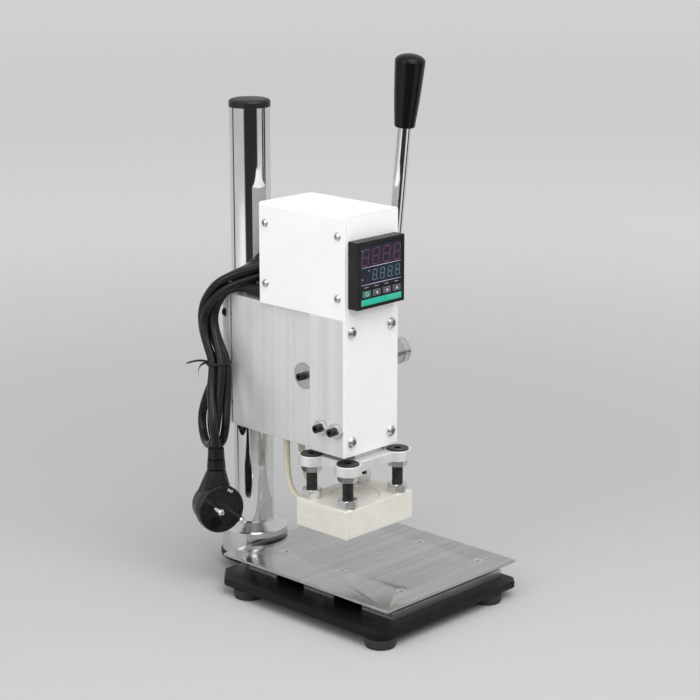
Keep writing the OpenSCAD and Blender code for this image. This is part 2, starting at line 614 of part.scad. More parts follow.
module hub_cap() color("#d9d5c8") at_press() along_shaft() {
    translate([0, 0, hub_x1 - 5.9]) cylinder(d = 8, h = 6);
    difference() {
        translate([0, 0, hub_x1]) cylinder(d = 20, h = 6);
        for (k = [0:29]) rotate(12 * k) translate([10, 0, hub_x1 + 0.8]) cylinder(d = 0.9, h = 4.4, $fn = 16);
    }
}

module shaft_screw() color("#2b2b2d") at_press() along_shaft() translate([0, 0, -arm_w / 2])
    rotate([180, 0, 0]) difference() {
        translate([0, 0, -9]) union() {
            cylinder(d = 4.9, h = 9);
            translate([0, 0, 9]) cylinder(d = 5.6, h = 5);
        }
        translate([0, 0, 2.5]) cylinder(d = 3, h = 5, $fn = 6);
    }

module lever_rod() color("#d6d6d8") at_press() translate([rod_x, shaft_y, shaft_z]) rotate([lever_lean, 0, 0]) {
    translate([0, 0, -1.9]) cylinder(d = rod_d, h = lever_len - 53 + 1.9);
    translate([0, 0, lever_len - 53.1]) cylinder(d = 7.8, h = 20);
}

module lever_grip() color("#111112") at_press() translate([rod_x, shaft_y, shaft_z]) rotate([lever_lean, 0, 0])
    translate([0, 0, lever_len - 53]) rotate_extrude($fn = 72) polygon(concat(
        [[3.95, 0], [6.9, 0], [7.5, 0.8], [8.6, 12], [9.6, 24], [10.5, 38], [11, 47]],
        [for (a = [0:15:90]) [10.4 * cos(a) + 0.6 * (1 - a / 90), 48 + 5 * sin(a)]],
        [[0, 22], [3.95, 22]]));

// ram

module rack_outline() {
    pitch = PI * gear_module;
    half = pitch / 4 - 0.12;
    count = 10;
    polygon(concat([[0, -half - 4], [rack_root, -half - 4]],
        [for (k = [0:count - 1]) let (z = k * pitch) each [
            [rack_root, z - half - 1.9 * tan(20)], [rack_tip, z - half + 1.3 * tan(20)],
            [rack_tip, z + half - 1.3 * tan(20)], [rack_root, z + half + 1.9 * tan(20)]]],
        [[rack_root, count * pitch], [0, count * pitch]]));
}

module ram() color("#a8a9ab") at_press() difference() {
    union() {
        cuboid(-ram_w / 2, ram_w / 2, bar_y0, rack_root, ram_z, ram_top);
        translate([-gear_w / 2, 0, shaft_z - 2 * PI * gear_module]) rotate([90, 0, 90]) linear_extrude(gear_w)
            intersection() {
                rack_outline();
                translate([0, -40]) square([40, 40 + ram_top - shaft_z + 2 * PI * gear_module]);
            }
    }
    translate([0, pin_y, ram_z - 1]) cylinder(d = 9.2, h = spring_top - ram_z + 1);
    cuboid(-20, 20, pin_y - 2.2, pin_y + 2.2, pin_z - 2.4, pin_z + 2.4 + travel);
    for (x = [-10.5, 10.5]) translate([x, 0, ram_z - 1]) cylinder(d = 6, h = 12);
}

module ram_bolts() color("#2a2a2c") at_press() for (x = [-10.5, 10.5])
    translate([x, 0, carrier_z + 5]) rotate([180, 0, 0]) cap_screw(5.9, 12, 9.6, 5, 5);

module carrier_plate() color("#b6b7b9") at_press() difference() {
    translate([0, 0, carrier_z]) linear_extrude(carrier_t) {
        translate([-ear_x, -ear_y + 5]) square([2 * ear_x, 2 * ear_y - 10]);
        translate([-ear_x + 7, -ear_y - 4]) square([2 * ear_x - 14, 2 * ear_y + 8]);
        four_ears() circle(r = 10, $fn = 64);
    }
    four_ears() {
        translate([0, 0, carrier_z - 1]) cylinder(d = 8.2, h = 20);
        translate([0, 0, carrier_z + carrier_t - 4.2]) cylinder(d1 = 8.2, d2 = 16.6, h = 4.21);
    }
    translate([0, pin_y, carrier_z - 1]) cylinder(d = 9.2, h = 20);
    for (x = [-10.5, 10.5]) translate([x, 0, carrier_z - 1]) {
        cylinder(d = 6, h = 20);
        cylinder(d = 9.8, h = 6);
    }
}

module carrier_screws() color("#1a1a1c") at_press() four_ears() difference() {
    top = carrier_z + carrier_t;
    union() {
        translate([0, 0, block_z + 9]) cylinder(d = 7.9, h = top - 4 - block_z - 9);
        translate([0, 0, top - 4.1]) cylinder(d1 = 7.9, d2 = 16, h = 4.1);
        translate([0, 0, top]) cylinder(d = 16, h = 0.6);
    }
    translate([0, 0, top - 2.6]) cylinder(d = 5.8, h = 5, $fn = 6);
}

module upper_nuts() color("#d8d9da") at_press() four_ears() translate([0, 0, carrier_z - 5.02])
    rotate(15) hex_nut(13, 8, 5);
module lower_nuts() color("#e4e5e6") at_press() four_ears() translate([0, 0, block_z + block_t + 0.02])
    rotate(30) hex_nut(13, 8, 6.5);

module heater_block() color("#c9c8c2") at_press() difference() {
    cuboid(-block_w / 2, block_w / 2, -block_d / 2, block_d / 2, block_z, block_z + block_t);
    four_ears() translate([0, 0, block_z + 8.5]) cylinder(d = 8, h = 20);
    translate([0, 0, block_z + block_t - 0.6]) cylinder(d = 36, h = 5, $fn = 96);
    for (x = [-lead_x, lead_x]) translate([x, block_d / 2 + 1, lead_z]) facing_front() cylinder(d = 8, h = 43);
    translate([0, block_d / 2 + 1, lead_z]) facing_front() cylinder(d = 4, h = 26);
}

module heater_cartridges() color("#9c9c9e") at_press() for (x = [-lead_x, lead_x])
    translate([x, block_d / 2 + 2, lead_z]) facing_front() cylinder(d = 7.9, h = 43.5);

module thermocouple() color("#b7b19c") at_press() {
    translate([0, block_d / 2 + 0.1, lead_z]) facing_front() cylinder(d = 3.9, h = 24.5);
    translate([0, block_d / 2 + 7, lead_z]) facing_front() cylinder(d = 6.6, h = 7, $fn = 6);
}

function lead_path(x) = let (s = sign(x), far = [s * 7, 62, head_z + 24]) [for (i = [0:14])
    let (t = i / 14, a = [x, block_d / 2 + 2.6, lead_z], b = a + [0, 34, -6], c = [far[0], far[1] + 2, head_z - 40])
    pow(1 - t, 3) * a + 3 * t * pow(1 - t, 2) * b + 3 * t * t * (1 - t) * c + pow(t, 3) * far];
module heater_leads() color("#e8e2cf") at_press() for (x = [-lead_x, lead_x]) swept(lead_path(x), 5, 8);

base_casting();
rubber_feet();
foot_screws();
column_collar();
collar_screw();
rail_channels();
rail_screws();
work_plate();
table_sliders();
table_screws();
column_tube();
column_cap();
arm_body();
ram_housing();
housing_bolts();
rear_clamp();
clamp_bolts();
front_plate();
front_plate_screws();
gib_plate();
gib_screws();
gib_nuts();
bearing_sleeve();
box_chassis();
box_cover();
box_screws();
controller_case();
controller_board();
controller_bezel();
display_window();
controller_bracket();
key_set();
key_shift();
key_down();
key_up();
terminal_block();
cable_gland();
mains_cord();
cord_wrap();
cord_hank();
cord_tie();
plug_body();
plug_pins();
return_spring();
spring_pin();
heater_leads();
pinion_shaft();
hub_cap();
lever_rod();
lever_grip();
shaft_screw();
ram();
ram_bolts();
carrier_plate();
carrier_screws();
upper_nuts();
lower_nuts();
heater_block();
heater_cartridges();
thermocouple();
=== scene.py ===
import json
import math

import bpy
from mathutils import Matrix, Vector


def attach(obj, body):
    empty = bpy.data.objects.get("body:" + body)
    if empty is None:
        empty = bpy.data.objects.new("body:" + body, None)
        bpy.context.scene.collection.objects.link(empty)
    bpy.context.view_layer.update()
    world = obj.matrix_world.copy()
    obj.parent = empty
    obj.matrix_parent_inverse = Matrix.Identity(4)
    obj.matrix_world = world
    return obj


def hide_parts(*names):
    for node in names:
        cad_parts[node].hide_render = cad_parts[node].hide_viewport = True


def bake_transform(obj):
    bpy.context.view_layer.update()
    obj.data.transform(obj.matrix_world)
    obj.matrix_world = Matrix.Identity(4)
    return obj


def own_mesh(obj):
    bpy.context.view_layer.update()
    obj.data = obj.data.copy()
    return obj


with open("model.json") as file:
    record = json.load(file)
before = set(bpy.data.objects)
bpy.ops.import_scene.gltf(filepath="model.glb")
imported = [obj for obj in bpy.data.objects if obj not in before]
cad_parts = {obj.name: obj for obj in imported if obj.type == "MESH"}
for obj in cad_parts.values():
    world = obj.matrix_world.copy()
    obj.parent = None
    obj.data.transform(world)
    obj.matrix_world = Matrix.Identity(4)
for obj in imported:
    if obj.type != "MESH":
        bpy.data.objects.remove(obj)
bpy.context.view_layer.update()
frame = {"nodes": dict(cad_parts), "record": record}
print("frame loaded:", len(frame["nodes"]), "nodes")

# The head's own measure: millimetres from the ram's axis, on the bench.
headPlace = Vector((-0.014, -0.024, 0.0))


def atHead(x, y, z):
    return Vector((x, y, z)) * 0.001 + headPlace


# Camera

cameraSettings = {
    "location": (-1.0136, -0.9748, 0.5502),
    "target": (0.006, 0.0, 0.1796),
    "lens": 102.9,
}


def addCamera(settings):
    camera = bpy.data.objects.new("camera", bpy.data.cameras.new("camera"))
    bpy.context.scene.collection.objects.link(camera)
    camera.data.lens = settings["lens"]
    camera.data.sensor_width = 36
    camera.data.clip_end = 100
    camera.location = settings["location"]
    aim = Vector(settings["target"]) - Vector(settings["location"])
    camera.rotation_euler = aim.to_track_quat("-Z", "Y").to_euler()
    bpy.context.scene.camera = camera


addCamera(cameraSettings)
print("camera placed")

# Mesh helpers


def clearSelection():
    if bpy.context.object and bpy.context.object.mode != "OBJECT":
        bpy.ops.object.mode_set(mode="OBJECT")
    bpy.ops.object.select_all(action="DESELECT")


def selectOnly(*objects):
    clearSelection()
    for item in objects:
        item.select_set(True)
    bpy.context.view_layer.objects.active = objects[0]


def settle(piece, angle=35):
    # Puts the place into the mesh and smooths all but the sharp edges.
    selectOnly(piece)
    bpy.ops.object.transform_apply(location=True, rotation=True, scale=True)
    bpy.ops.object.mode_set(mode="EDIT")
    bpy.ops.mesh.select_all(action="SELECT")
    bpy.ops.mesh.remove_doubles(threshold=0.000001)
    bpy.ops.mesh.normals_make_consistent(inside=False)
    bpy.ops.object.mode_set(mode="OBJECT")
    bpy.ops.object.shade_smooth_by_angle(angle=math.radians(angle))


def selectFaces(piece, choose):
    # Leaves edit mode on, with only the faces selected that choose picks out of all of them.
    bpy.ops.object.mode_set(mode="EDIT")
    bpy.ops.mesh.select_mode(type="FACE")
    bpy.ops.mesh.select_all(action="DESELECT")
    bpy.ops.object.mode_set(mode="OBJECT")
    for face in choose(piece.data.polygons):
        face.select = True
    bpy.ops.object.mode_set(mode="EDIT")


def joinPieces(name, parts):
    selectOnly(*parts)
    if len(parts) > 1:
        bpy.ops.object.join()
    piece = bpy.context.object
    piece.name = name
    piece.data.name = name
    return piece


def useModifier(piece, kind, **values):
    modifier = piece.modifiers.new(kind.title(), kind)
    for key, value in values.items():
        setattr(modifier, key, value)
    selectOnly(piece)
    bpy.ops.object.modifier_apply(modifier=modifier.name)


def dress(piece, material, body):
    piece.data.materials.clear()
    piece.data.materials.append(material)
    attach(piece, body)


def routeLength(route):
    return sum((b - a).length for a, b in zip(route, route[1:]))


def makeTube(name, route, diameter, steps, roundness):
    # A round tube along the route, still a curve.
    data = bpy.data.curves.new(name, "CURVE")
    data.dimensions = "3D"
    data.resolution_u = steps
    data.bevel_depth = diameter / 2
    data.bevel_resolution = roundness
    data.use_fill_caps = True
    spline = data.splines.new("BEZIER")
    spline.bezier_points.add(len(route) - 1)
    for point, place in zip(spline.bezier_points, route):
        point.co = place
        point.handle_left_type = point.handle_right_type = "AUTO"
    tube = bpy.data.objects.new(name, data)
    bpy.context.scene.collection.objects.link(tube)
    return tube


# Mains lead

leadSettings = {
    "diameter": 0.0064,
    "pointSpacing": 7.0,    # mm from one point of the route to the next
    "foldRadius": 19.2,     # mm, at both ends of the hank
    "wrapRadius": 24.7,     # mm, from the column's axis
    "columnAxis": 106.0,    # mm, how far back the column stands
    "spread": 3.3,          # mm, half the gap between two strands that lie together
    "wrapPoints": ((252, 236.2), (262, 236.8)),    # degrees round the column, and height
    "loopHeight": 237.4,    # mm, of the upper loops where they leave the column
    "loopRise": 2.6,        # mm, gained on the way to the fold
    "exit": (-0.0335, 0.0681, 0.222),    # where the lead leaves its gland
}

# From the gland to the tie, and from the tie to the plug.
leadStart = [(-19.5, 91.4, 222), (-19.6, 95.8, 222), (-21.5, 101, 221.3), (-25.2, 107, 218.8),
    (-28.4, 112.4, 212.2), (-30.2, 115.2, 205.5), (-30.8, 116, 199), (-32, 113, 188), (-34.5, 107, 177)]
leadTail = [(-44.5, 104, 150), (-48.5, 99.5, 140), (-52, 94.5, 130), (-53.5, 91.5, 120),
    (-52.6, 91, 113), (-52.5, 91, 106)]

# Middle of the bundle from its lower fold up to the front of the column,
# each with the direction its flat side faces.
bundleLine = [
    ((-36, 111, 121), (0.45, 0.89, 0)), ((-35, 108.5, 143), (0.45, 0.89, 0)),
    ((-34, 106, 165), (0.45, 0.89, 0)), ((-34, 113, 178.5), (0.45, 0.89, 0)),
    ((-33, 119, 192), (0.45, 0.89, 0)), ((-31.5, 119, 205), (0.3, 0.7, 0.4)),
    ((-29, 112, 217.5), (0, 0.3, 1)), ((-25.5, 103, 226), (0, 0, 1)),
    ((-21, 93, 232.5), (0, 0, 1)), ((-12, 84.5, 235.5), (0, 0, 1)),
]
# Where each strand lies in the bundle, by station.
strandPlaces = {
    0: {1: (-19.2, 3.6), 5: (-19.2, -3.6), 4: (19.2, 3.6), 2: (19.2, -3.6)},
    1: {1: (-12.2, 1.2), 2: (8.2, -0.8), 4: (14.6, 0.4), 5: (-10.3, -5.2)},
    2: {1: (-5.5, 0), 2: (4.4, 3.2), 3: (-1.7, 5.2), 4: (4.4, -3.2), 5: (-1.7, -5.2)},
    5: {2: (3.3, 3.4), 3: (-3.3, 3.4), 4: (3.3, -3.4), 5: (-3.3, -3.4)},
    7: {2: (3.3, 3.4), 3: (-3.3, 3.4), 4: (3.3, -3.4), 5: (-3.3, -3.4)},
}


def bundleAxes(station):
    centre = Vector(bundleLine[station][0])
    before = Vector(bundleLine[max(station - 1, 0)][0])
    after = Vector(bundleLine[min(station + 1, len(bundleLine) - 1)][0])
    along = (after - before).normalized()
    across = Vector(bundleLine[station][1])
    across = (across - across.dot(along) * along).normalized()
    return centre, along, across, along.cross(across)


def strandPoint(station, strand):
    places = strandPlaces.get(station)
    if places is None:    # between two stations that have their own places
        lower = max(k for k in strandPlaces if k < station)
        upper = min(k for k in strandPlaces if k > station)
        share = (station - lower) / (upper - lower)
        first, last = strandPlaces[lower][strand], strandPlaces[upper][strand]
        place = [a + (b - a) * share for a, b in zip(first, last)]
    else:
        place = places[strand]
    centre, along, across, outward = bundleAxes(station)
    return centre + across * place[0] + outward * place[1]


def lowerFold(first, last, settings):
    # Half a turn under the bundle, from one strand to another.
    centre, along, across, outward = bundleAxes(0)
    offset = outward * strandPlaces[0][first][1]
    radius = settings["foldRadius"]
    turn = [math.pi * k / 8 for k in range(1, 8)]
    return [centre + offset - radius * (across * math.cos(a) + along * math.sin(a)) for a in turn]


def upperFold(out, settings):
    # A drop-shaped loop standing off the front of the column: the strands part, and meet in a fold.
    spread, fold = settings["spread"], settings["foldRadius"]
    reach = math.sqrt((fold - spread) * (3 * fold + spread))
    lean = math.acos((fold + spread) / (2 * fold))
    parting = [lean * k / 4 for k in range(5)]
    turning = [(math.pi / 2 + lean) * (1 - k / 7) for k in range(1, 8)]
    half = [(fold * math.sin(a), spread + fold * (1 - math.cos(a))) for a in parting]
    half += [(reach + fold * math.cos(a), fold * math.sin(a)) for a in turning]
    other = [(along, -rise) for along, rise in reversed(half[:-1])]
    radius, axis = settings["wrapRadius"] + out, settings["columnAxis"]
    turn = [Vector((radius * math.cos(math.radians(a)), axis + radius * math.sin(math.radians(a)), level))
        for a, level in settings["wrapPoints"]]
    upper = [p + Vector((0, 0, spread)) for p in turn]
    lower = [p - Vector((0, 0, spread)) for p in reversed(turn)]
    level, climb = settings["loopHeight"], settings["loopRise"]
    loop = [Vector((along, axis - radius, level + climb * min(along / reach, 1) + rise))
        for along, rise in half + other]
    return upper + loop + lower


def evenRoute(points, spacing):
    # A smooth line through the points, then points at even distances along it.
    line = []
    padded = [2 * points[0] - points[1]] + points + [2 * points[-1] - points[-2]]
    for k in range(1, len(padded) - 2):
        a, b, c, d = padded[k - 1:k + 3]
        for step in range(10):
            t = step / 10
            line.append(0.5 * (2 * b + (c - a) * t + (2 * a - 5 * b + 4 * c - d) * t * t
                + (3 * b - a - 3 * c + d) * t ** 3))
    line.append(points[-1])
    total = routeLength(line)
    count = round(total / spacing)
    wanted = [total * k / count for k in range(count + 1)]
    result, walked, at = [line[0]], 0.0, 1
    for a, b in zip(line, line[1:]):
        length = (b - a).length
        while at < count and wanted[at] <= walked + length:
            result.append(a.lerp(b, (wanted[at] - walked) / length))
            at += 1
        walked += length
    result.append(line[-1])
    # One easing pass takes out the last small kinks.
    return [result[0]] + [result[k] * 0.5 + (result[k - 1] + result[k + 1]) * 0.25
        for k in range(1, len(result) - 1)] + [result[-1]]


def leadRoute(settings):
    route = [Vector(p) for p in leadStart]
    route += [strandPoint(k, 1) for k in (2, 1, 0)]
    route += lowerFold(1, 4, settings)
    route += [strandPoint(k, 4) for k in range(0, 8)]
    route += upperFold(-3.4, settings)
    route += [strandPoint(k, 5) for k in range(7, -1, -1)]
    route += lowerFold(5, 2, settings)
    route += [strandPoint(k, 2) for k in range(0, 8)]
    route += upperFold(3.4, settings)
    route += [strandPoint(k, 3) for k in range(7, 1, -1)]
    route += [Vector(p) for p in leadTail]
    return [atHead(*p) for p in evenRoute(route, settings["pointSpacing"])]


def makeLead(settings):
    route = leadRoute(settings)
    piece = makeTube("mainsLead", route, settings["diameter"], 8, 5)
    bpy.context.view_layer.update()
    return piece, routeLength(route)


lead, leadLength = makeLead(leadSettings)
print("mains lead laid:", round(leadLength, 3), "m")

# Shared surface effects


def newGroup(name, inputs, outputs):
    group = bpy.data.node_groups.new(name, "ShaderNodeTree")
    for label, kind, value in inputs:
        socket = group.interface.new_socket(label, in_out="INPUT", socket_type=kind)
        socket.default_value = value
    for label, kind in outputs:
        group.interface.new_socket(label, in_out="OUTPUT", socket_type=kind)
    return group, group.nodes.new("NodeGroupInput"), group.nodes.new("NodeGroupOutput")


def mathNode(tree, operation, first, second, clamp=False):
    node = tree.nodes.new("ShaderNodeMath")
    node.operation = operation
    node.use_clamp = clamp
    for index, value in enumerate((first, second)):
        if hasattr(value, "links"):
            tree.links.new(value, node.inputs[index])
        else:
            node.inputs[index].default_value = value
    return node.outputs[0]


def noiseNode(tree, vector, scale, detail=3.0, roughness=0.5):
    node = tree.nodes.new("ShaderNodeTexNoise")
    node.inputs["Detail"].default_value = detail
    node.inputs["Roughness"].default_value = roughness
    tree.links.new(vector, node.inputs["Vector"])
    if hasattr(scale, "links"):
        tree.links.new(scale, node.inputs["Scale"])
    else:
        node.inputs["Scale"].default_value = scale
    return node.outputs["Fac"]


def rangeNode(tree, value, fromLow, fromHigh, toLow=0.0, toHigh=1.0):
    node = tree.nodes.new("ShaderNodeMapRange")
    node.interpolation_type = "SMOOTHSTEP"
    tree.links.new(value, node.inputs["Value"])
    limits = (("From Min", fromLow), ("From Max", fromHigh), ("To Min", toLow), ("To Max", toHigh))
    for label, number in limits:
        node.inputs[label].default_value = number
    return node.outputs["Result"]


def mixColour(tree, share, first, second):
    node = tree.nodes.new("ShaderNodeMix")
    node.data_type = "RGBA"
    for index, value in ((0, share), (6, first), (7, second)):
        if hasattr(value, "links"):
            tree.links.new(value, node.inputs[index])
        else:
            node.inputs[index].default_value = value
    return node.outputs[2]


surfaceOutputs = [("Colour", "NodeSocketColor"), ("Roughness", "NodeSocketFloat"),
    ("Height", "NodeSocketFloat")]


def makeGrainGroup():
    # Moulded, cast or coated skin: a fine grain, with slow changes of tone over it.
    group, source, target = newGroup("fineGrain",
        [("Grain Size", "NodeSocketFloat", 900.0), ("Tone Size", "NodeSocketFloat", 35.0),
            ("Colour", "NodeSocketColor", (0.5, 0.5, 0.5, 1)),
            ("Worn Colour", "NodeSocketColor", (0.6, 0.6, 0.6, 1)),
            ("Roughness", "NodeSocketFloat", 0.4), ("Roughness Spread", "NodeSocketFloat", 0.1)],
        surfaceOutputs)
    place = group.nodes.new("ShaderNodeTexCoord").outputs["Object"]
    fine = noiseNode(group, place, source.outputs["Grain Size"], 2.0)
    slow = noiseNode(group, place, source.outputs["Tone Size"], 4.0, 0.6)
    tone = rangeNode(group, slow, 0.35, 0.7)
    speckle = rangeNode(group, fine, 0.3, 0.75)
    share = mathNode(group, "ADD", mathNode(group, "MULTIPLY", tone, 0.65),
        mathNode(group, "MULTIPLY", speckle, 0.35), True)
    colour = mixColour(group, share, source.outputs["Colour"], source.outputs["Worn Colour"])
    spread = mathNode(group, "MULTIPLY", mathNode(group, "SUBTRACT", slow, 0.5),
        source.outputs["Roughness Spread"])
    rough = mathNode(group, "ADD", source.outputs["Roughness"], spread, True)
    group.links.new(colour, target.inputs["Colour"])
    group.links.new(rough, target.inputs["Roughness"])
    group.links.new(fine, target.inputs["Height"])
    return group


def makeBrushGroup():
    # Drawn, milled or brushed metal: fine lines along one direction, and broader bands among them.
    group, source, target = newGroup("brushedLines",
        [("Stretch", "NodeSocketVector", (2000.0, 2000.0, 20.0)), ("Band Share", "NodeSocketFloat", 0.12),
            ("Colour", "NodeSocketColor", (0.6, 0.6, 0.6, 1)),
            ("Line Colour", "NodeSocketColor", (0.7, 0.7, 0.7, 1)),
            ("Roughness", "NodeSocketFloat", 0.3), ("Roughness Spread", "NodeSocketFloat", 0.15)],
        surfaceOutputs)
    place = group.nodes.new("ShaderNodeTexCoord").outputs["Object"]
    stretched = group.nodes.new("ShaderNodeVectorMath")
    stretched.operation = "MULTIPLY"
    group.links.new(place, stretched.inputs[0])
    group.links.new(source.outputs["Stretch"], stretched.inputs[1])
    fine = noiseNode(group, stretched.outputs["Vector"], 1.0, 3.0, 0.6)
    bands = noiseNode(group, stretched.outputs["Vector"], source.outputs["Band Share"], 2.0, 0.5)
    smear = noiseNode(group, place, 28.0, 3.0, 0.5)
    both = mathNode(group, "ADD", mathNode(group, "MULTIPLY", rangeNode(group, fine, 0.3, 0.7), 0.5),
        mathNode(group, "MULTIPLY", rangeNode(group, bands, 0.3, 0.7), 0.5), True)
    colour = mixColour(group, both, source.outputs["Colour"], source.outputs["Line Colour"])
    change = mathNode(group, "ADD", mathNode(group, "SUBTRACT", fine, 0.5),
        mathNode(group, "SUBTRACT", smear, 0.5))
    rough = mathNode(group, "ADD", source.outputs["Roughness"],
        mathNode(group, "MULTIPLY", change, source.outputs["Roughness Spread"]), True)
    group.links.new(colour, target.inputs["Colour"])
    group.links.new(rough, target.inputs["Roughness"])
    group.links.new(fine, target.inputs["Height"])
    return group


def makeMarksGroup():
    # Finger marks, dust and small scratches, as a mask.
    group, source, target = newGroup("handlingMarks",
        [("Amount", "NodeSocketFloat", 0.3), ("Size", "NodeSocketFloat", 60.0)], [("Mask", "NodeSocketFloat")])
    place = group.nodes.new("ShaderNodeTexCoord").outputs["Object"]
    patches = rangeNode(group, noiseNode(group, place, source.outputs["Size"], 5.0, 0.65), 0.52, 0.72)
    specks = rangeNode(group, noiseNode(group, place, 1400.0, 1.0), 0.68, 0.78)
    both = mathNode(group, "MAXIMUM", patches, specks)
    group.links.new(mathNode(group, "MULTIPLY", both, source.outputs["Amount"], True), target.inputs["Mask"])
    return group


grainGroup, brushGroup, marksGroup = makeGrainGroup(), makeBrushGroup(), makeMarksGroup()

# Finishes


finishes = {}


def makeFinish(name, group, settings, metallic=0.0, bump=0.1, bumpDepth=0.00002, marks=0.15, shine=0.5):
    material = bpy.data.materials.new(name)
    material.use_nodes = True
    tree = material.node_tree
    tree.nodes.clear()
    output = tree.nodes.new("ShaderNodeOutputMaterial")
    shader = tree.nodes.new("ShaderNodeBsdfPrincipled")
    tree.links.new(shader.outputs["BSDF"], output.inputs["Surface"])
    effect = tree.nodes.new("ShaderNodeGroup")
    effect.node_tree = group
    for label, value in settings.items():
        effect.inputs[label].default_value = value
    handled = tree.nodes.new("ShaderNodeGroup")
    handled.node_tree = marksGroup
    handled.inputs["Amount"].default_value = marks
    marksTone = tuple(0.75 * c + 0.015 for c in settings["Colour"][:3]) + (1,)
    colour = mixColour(tree, handled.outputs["Mask"], effect.outputs["Colour"], marksTone)
    dulled = mathNode(tree, "MULTIPLY", handled.outputs["Mask"], 0.25)
    rough = mathNode(tree, "ADD", effect.outputs["Roughness"], dulled, True)
    tree.links.new(colour, shader.inputs["Base Color"])
    tree.links.new(rough, shader.inputs["Roughness"])
    relief = tree.nodes.new("ShaderNodeBump")
    relief.inputs["Strength"].default_value = bump
    relief.inputs["Distance"].default_value = bumpDepth
    tree.links.new(effect.outputs["Height"], relief.inputs["Height"])
    tree.links.new(relief.outputs["Normal"], shader.inputs["Normal"])
    shader.inputs["Metallic"].default_value = metallic
    shader.inputs["Specular IOR Level"].default_value = shine
    finishes[name] = material


def grainFinish(name, grainSize, toneSize, plain, worn, roughness, spread, **extra):
    makeFinish(name, grainGroup, {"Grain Size": grainSize, "Tone Size": toneSize, "Colour": plain + (1,),
        "Worn Colour": worn + (1,), "Roughness": roughness, "Roughness Spread": spread}, **extra)


def brushFinish(name, stretch, plain, line, roughness, spread, bandShare=0.12, **extra):
    makeFinish(name, brushGroup, {"Stretch": stretch, "Band Share": bandShare, "Colour": plain + (1,),
        "Line Colour": line + (1,), "Roughness": roughness, "Roughness Spread": spread}, **extra)


def grey(value, warmth=0.0):
    return (value * (1 + warmth), value, value * (1 - warmth))


# Metals: stretch of the lines along each axis, the two tones, roughness and its spread
brushFinish("springSteel", (300, 300, 2500), grey(0.42), grey(0.55), 0.3, 0.2, metallic=1.0)
brushFinish("groundSteel", (2600, 2600, 60), grey(0.5), grey(0.64), 0.26, 0.2, metallic=1.0)
brushFinish("turnedCollar", (14, 14, 2200), grey(0.66), grey(0.76), 0.2, 0.1, metallic=1.0, bump=0.12)
brushFinish("railAluminium", (30, 2400, 2400), grey(0.55), grey(0.7), 0.34, 0.2, metallic=1.0, bump=0.2)
brushFinish("brushedPlate", (45, 2600, 2600), grey(0.44), grey(0.6), 0.15, 0.12, metallic=1.0, bump=0.12,
    marks=0.12)
brushFinish("drawnAluminium", (1700, 1700, 9), grey(0.66, 0.01), grey(0.8, 0.01), 0.42, 0.25, 0.07,
    metallic=0.45, bump=0.3, bumpDepth=0.00003)
brushFinish("knurledCap", (2000, 400, 400), grey(0.66, 0.02), grey(0.8, 0.02), 0.28, 0.2, metallic=1.0,
    bump=0.2)
brushFinish("brass", (2000, 2000, 60), (0.56, 0.36, 0.11), (0.7, 0.48, 0.18), 0.28, 0.2, metallic=1.0)
brushFinish("milledBlock", (900, 60, 900), (0.76, 0.745, 0.67), (0.88, 0.865, 0.79), 0.5, 0.2, 0.1,
    metallic=0.35, bump=0.25, bumpDepth=0.00003)
# The rest: size of the grain and of the slow tones, the two tones, roughness and its spread
grainFinish("brightZinc", 500, 180, grey(0.62), grey(0.78, 0.01), 0.24, 0.2, metallic=1.0, bump=0.15)
grainFinish("blackSteel", 900, 150, grey(0.012), grey(0.05), 0.38, 0.2, metallic=0.6, bump=0.3)
grainFinish("chrome", 260, 22, grey(0.7), grey(0.8), 0.07, 0.06, metallic=1.0, bump=0.02, marks=0.06)
grainFinish("blackCasting", 700, 40, grey(0.004), grey(0.008), 0.4, 0.25, bump=0.35, bumpDepth=0.00006,
    shine=0.18)
grainFinish("rubber", 1200, 60, grey(0.009), grey(0.025), 0.62, 0.2, bump=0.5, bumpDepth=0.00005, marks=0.25)
grainFinish("whiteEnamel", 650, 30, (0.83, 0.825, 0.81), (0.87, 0.865, 0.85), 0.33, 0.12, bump=0.16,
    bumpDepth=0.00004, marks=0.05)
grainFinish("whitePowderCoat", 1100, 26, (0.86, 0.865, 0.87), (0.9, 0.905, 0.91), 0.42, 0.14, bump=0.3,
    bumpDepth=0.00005, marks=0.04)
grainFinish("blackPlastic", 1300, 60, grey(0.01), grey(0.014), 0.38, 0.18, bump=0.3, bumpDepth=0.00003,
    shine=0.25)
grainFinish("gripPlastic", 500, 35, grey(0.004), grey(0.007), 0.26, 0.14, bump=0.08, marks=0.06, shine=0.2)
grainFinish("cordSheath", 1000, 70, grey(0.009), grey(0.011), 0.26, 0.16, bump=0.15, bumpDepth=0.00004,
    marks=0.08, shine=0.26)
grainFinish("windowAcrylic", 300, 90, (0.022, 0.025, 0.042), (0.032, 0.034, 0.056), 0.12, 0.06, bump=0.02,
    marks=0.05)
grainFinish("greenKey", 1200, 200, (0.03, 0.16, 0.11), (0.05, 0.22, 0.16), 0.45, 0.15, bump=0.3)
grainFinish("greyKey", 1200, 200, (0.075, 0.075, 0.095), (0.11, 0.11, 0.13), 0.45, 0.15, bump=0.3)
grainFinish("circuitBoard", 900, 250, (0.02, 0.11, 0.04), (0.04, 0.2, 0.07), 0.3, 0.2)
grainFinish("creamPlastic", 900, 120, (0.62, 0.56, 0.42), (0.7, 0.65, 0.5), 0.4, 0.15)
grainFinish("leadSleeve", 1500, 120, (0.66, 0.6, 0.47), (0.76, 0.71, 0.58), 0.6, 0.15, bump=0.6,
    bumpDepth=0.0001)
grainFinish("greenStrip", 700, 120, (0.01, 0.42, 0.27), (0.03, 0.5, 0.36), 0.3, 0.1)
grainFinish("palePrint", 1500, 300, (0.5, 0.49, 0.55), (0.62, 0.6, 0.66), 0.4, 0.1)
grainFinish("redSegment", 900, 300, (0.12, 0.036, 0.062), (0.18, 0.055, 0.09), 0.25, 0.1)
